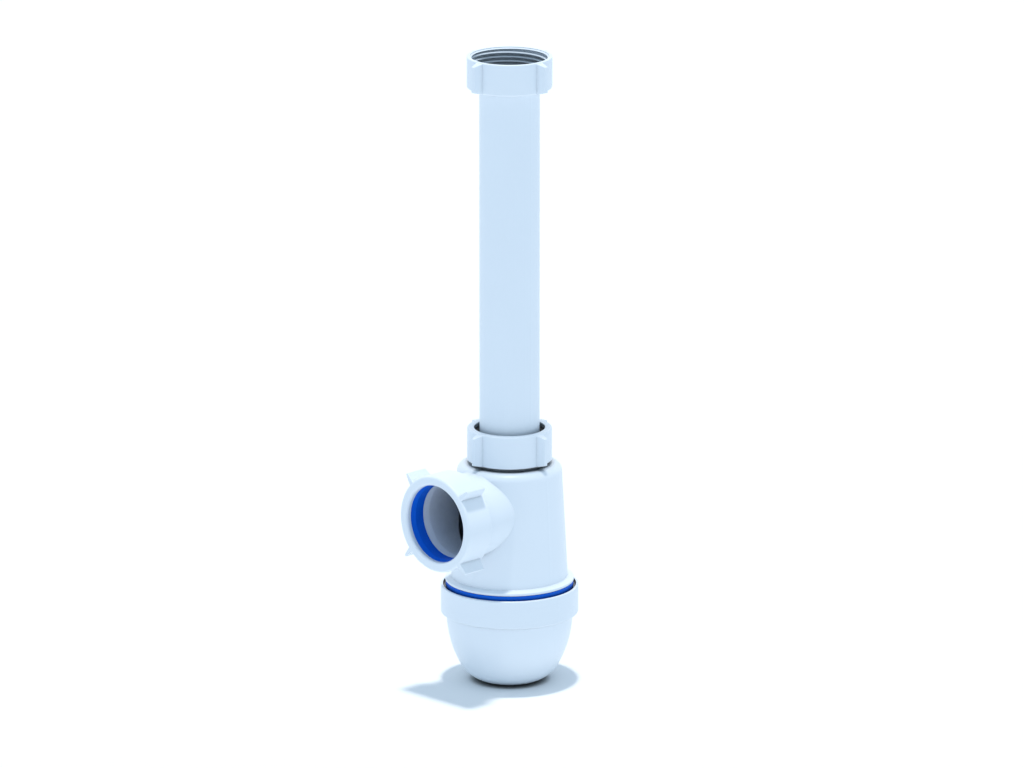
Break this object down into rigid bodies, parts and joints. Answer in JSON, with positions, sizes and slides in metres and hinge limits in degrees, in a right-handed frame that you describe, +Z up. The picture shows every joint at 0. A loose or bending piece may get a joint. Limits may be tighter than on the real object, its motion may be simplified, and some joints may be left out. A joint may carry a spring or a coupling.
{
  "type": "basin bottle trap",
  "caption": "White plastic bottle trap for a wash basin: sliding tail pipe, union nuts with grip lugs, side outlet with a blue cone gasket and a screw-off cup.",
  "frame": {"origin": "centre of the inlet nut's open mouth, where the basin waste screws in", "axes": "+Z up along the tail pipe, out of the inlet mouth; -Y out of the side outlet"},
  "size_m": [0.0736, 0.0931, 0.3423],
  "materials": {
    "white_plastic": "smooth satin moulding",
    "blue_rubber": "satin moulded ring",
    "black_rubber": "matt moulded ring"
  },
  "bodies": {
    "inlet_nut": {"inlet_nut": "white_plastic"},
    "tailpipe": {"tailpipe": "white_plastic", "inlet_gasket": "black_rubber"},
    "trap_body": {"trap_body": "white_plastic"},
    "neck_gasket": {"neck_cone_gasket": "black_rubber"},
    "neck_nut": {"neck_nut": "white_plastic"},
    "outlet_gasket": {"outlet_cone_gasket": "blue_rubber"},
    "outlet_nut": {"outlet_nut": "white_plastic"},
    "cup_gasket": {"cup_gasket": "blue_rubber"},
    "cup": {"cup": "white_plastic"}
  },
  "joints": [
    {"name": "pipe_swivel", "type": "hinge", "parent": "inlet_nut", "child": "tailpipe", "pos_m": [0, 0, 0], "axis": [0, 0, 1], "continuous": true},
    {"name": "pipe_slide", "type": "slide", "parent": "tailpipe", "child": "trap_body", "axis": [0, 0, 1], "range_m": [-0.025, 0.06]},
    {"name": "neck_nut_lift", "type": "slide", "parent": "trap_body", "child": "neck_gasket", "axis": [0, 0, 1], "range_m": [0, 0.00924]},
    {"name": "neck_nut_turn", "type": "hinge", "parent": "neck_gasket", "child": "neck_nut", "pos_m": [0, 0, -0.211], "axis": [0, 0, 1], "range_deg": [0, 1441]},
    {"name": "outlet_nut_lift", "type": "slide", "parent": "trap_body", "child": "outlet_gasket", "axis": [0, -1, 0], "range_m": [0, 0.00924]},
    {"name": "outlet_nut_turn", "type": "hinge", "parent": "outlet_gasket", "child": "outlet_nut", "pos_m": [0, -0.048, -0.2454], "axis": [0, -1, 0], "range_deg": [0, 1441]},
    {"name": "cup_drop", "type": "slide", "parent": "trap_body", "child": "cup_gasket", "axis": [0, 0, -1], "range_m": [0, 0.009]},
    {"name": "cup_turn", "type": "hinge", "parent": "cup_gasket", "child": "cup", "pos_m": [0, 0, -0.297], "axis": [0, 0, -1], "range_deg": [0, 1081]}
  ],
  "couplings": [
    {"joint": "neck_nut_turn", "follows": "neck_nut_lift", "rad_per_m": 2721.2},
    {"joint": "outlet_nut_turn", "follows": "outlet_nut_lift", "rad_per_m": 2721.2},
    {"joint": "cup_turn", "follows": "cup_drop", "rad_per_m": 2094.4}
  ]
}
